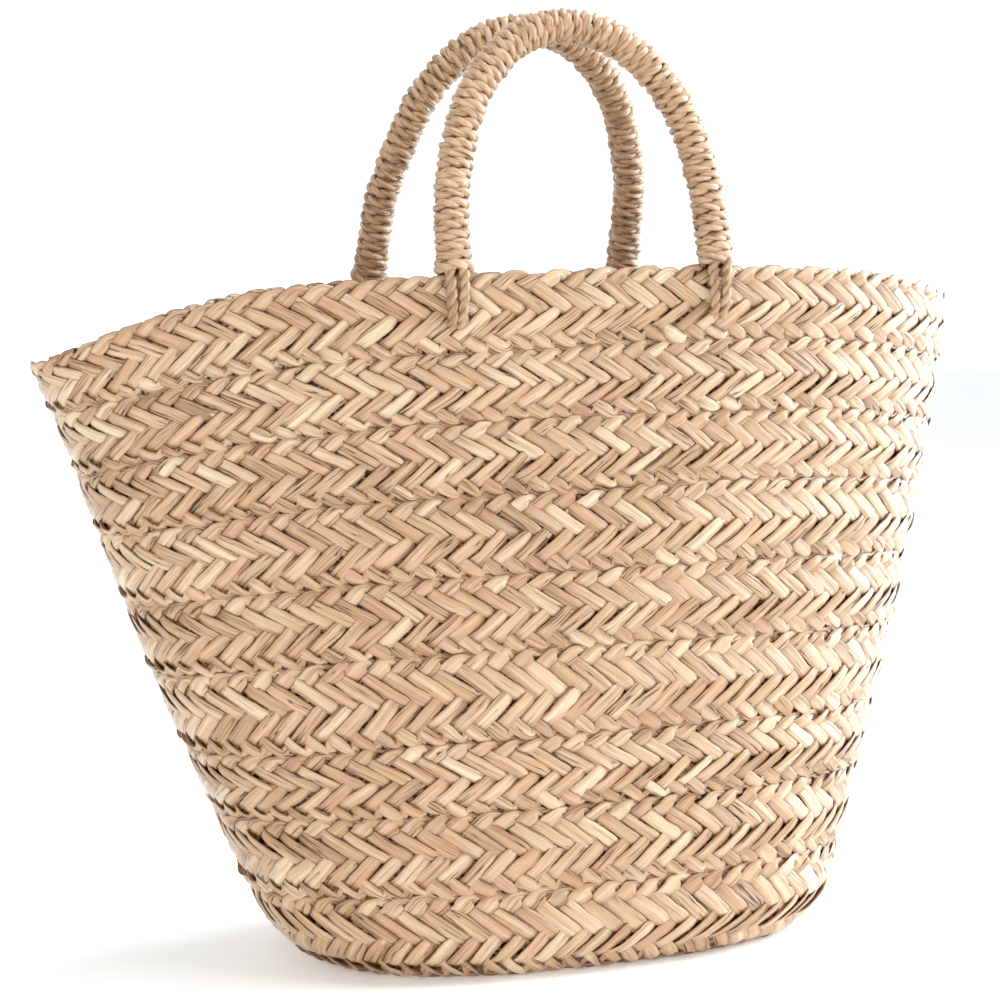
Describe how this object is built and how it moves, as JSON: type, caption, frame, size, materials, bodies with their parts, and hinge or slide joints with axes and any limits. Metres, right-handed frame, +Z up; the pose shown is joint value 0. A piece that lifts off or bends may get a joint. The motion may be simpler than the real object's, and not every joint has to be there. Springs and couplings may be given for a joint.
{
  "type": "woven market basket",
  "caption": "Open oval market basket of coiled plaited-leaf braid with two cord-wrapped carrying handles that fold down outside.",
  "frame": {"origin": "centre of the base's resting face, at the middle of the folded braid that starts the coil", "axes": "+X along the basket's length towards its right end, +Y from the front long side to the back long side, +Z up out of the mouth"},
  "size_m": [0.4822, 0.1821, 0.4753],
  "materials": {
    "leaf_braid": "matte plaited dry leaf",
    "lacing_cord": "matte twisted fibre",
    "lashing_cord": "matte twisted leaf cord",
    "handle_cord": "matte twisted leaf cord",
    "handle_core": "matte bundled fibre"
  },
  "bodies": {
    "basket": {"base_center_braid": "leaf_braid", "base_course": "leaf_braid", "corner_course": "leaf_braid", "wall_course_1": "leaf_braid", "wall_course_2": "leaf_braid", "wall_course_3": "leaf_braid", "wall_course_4": "leaf_braid", "wall_course_5": "leaf_braid", "wall_course_6": "leaf_braid", "wall_course_7": "leaf_braid", "rim_course": "leaf_braid", "base_lacing": "lacing_cord", "corner_lacing": "lacing_cord", "wall_lacing_1": "lacing_cord", "wall_lacing_2": "lacing_cord", "wall_lacing_3": "lacing_cord", "wall_lacing_4": "lacing_cord", "wall_lacing_5": "lacing_cord", "wall_lacing_6": "lacing_cord", "wall_lacing_7": "lacing_cord", "wall_lacing_8": "lacing_cord", "front_left_lashing": "lashing_cord", "front_right_lashing": "lashing_cord", "back_left_lashing": "lashing_cord", "back_right_lashing": "lashing_cord"},
    "front_handle": {"front_handle_core": "handle_core", "front_handle_wrap": "handle_cord"},
    "back_handle": {"back_handle_core": "handle_core", "back_handle_wrap": "handle_cord"}
  },
  "joints": [
    {"name": "front_handle_swing", "type": "hinge", "parent": "basket", "child": "front_handle", "pos_m": [-0.002, -0.092, 0.3505], "axis": [1, 0, 0], "range_deg": [0, 170]},
    {"name": "back_handle_swing", "type": "hinge", "parent": "basket", "child": "back_handle", "pos_m": [0.004, 0.0914, 0.3426], "axis": [-1, 0, 0], "range_deg": [0, 178]}
  ]
}
